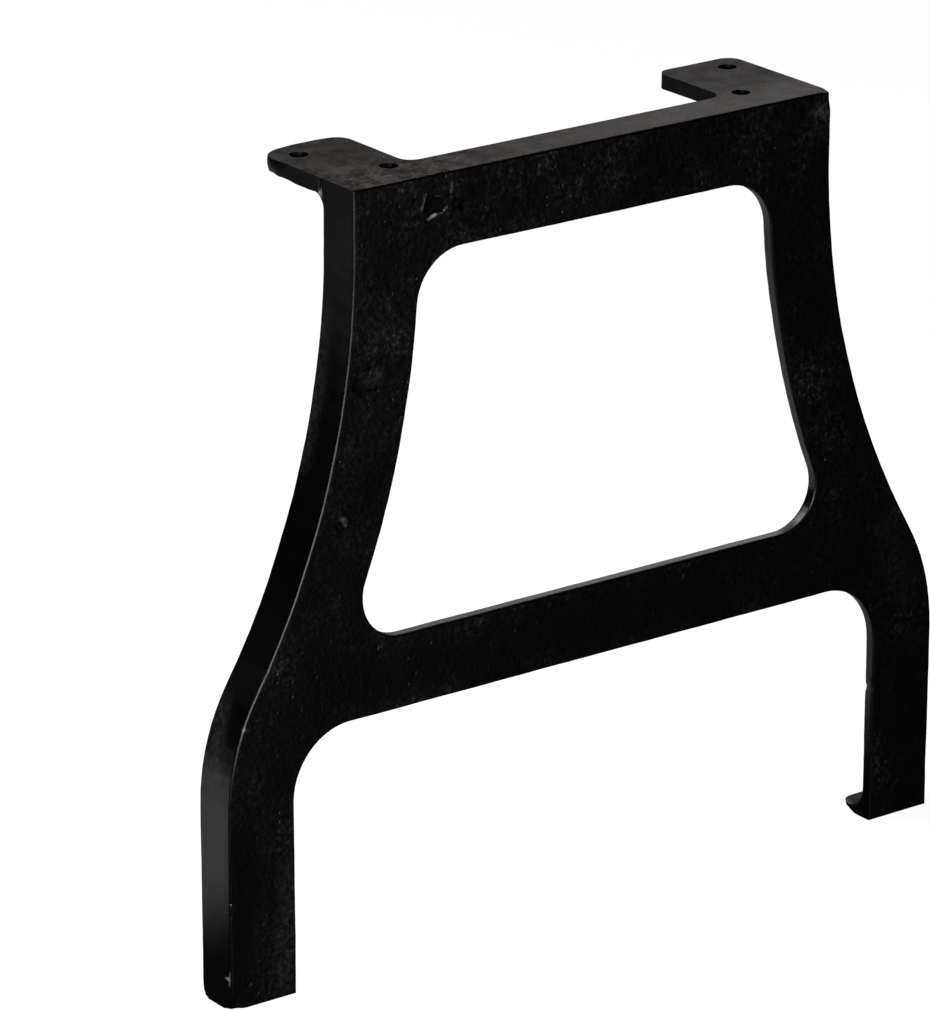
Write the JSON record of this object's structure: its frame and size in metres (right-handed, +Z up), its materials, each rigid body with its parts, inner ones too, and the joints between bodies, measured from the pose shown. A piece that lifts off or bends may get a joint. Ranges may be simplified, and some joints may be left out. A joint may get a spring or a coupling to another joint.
{
  "type": "trestle table leg",
  "caption": "Cast A-frame trestle leg with a flanged outline, a cross rail, a window and drilled top tabs; it carries the end of a table or bench top.",
  "frame": {"origin": "middle of the leg's box, on the floor", "axes": "+X across the feet, +Y from the flat front face towards the tabs, +Z up"},
  "size_m": [0.46, 0.083, 0.42],
  "materials": {
    "black_cast_iron": "black satin paint over a grainy sand casting, seat faces ground smooth"
  },
  "bodies": {
    "root": {"leg_casting": "black_cast_iron"}
  },
  "joints": []
}
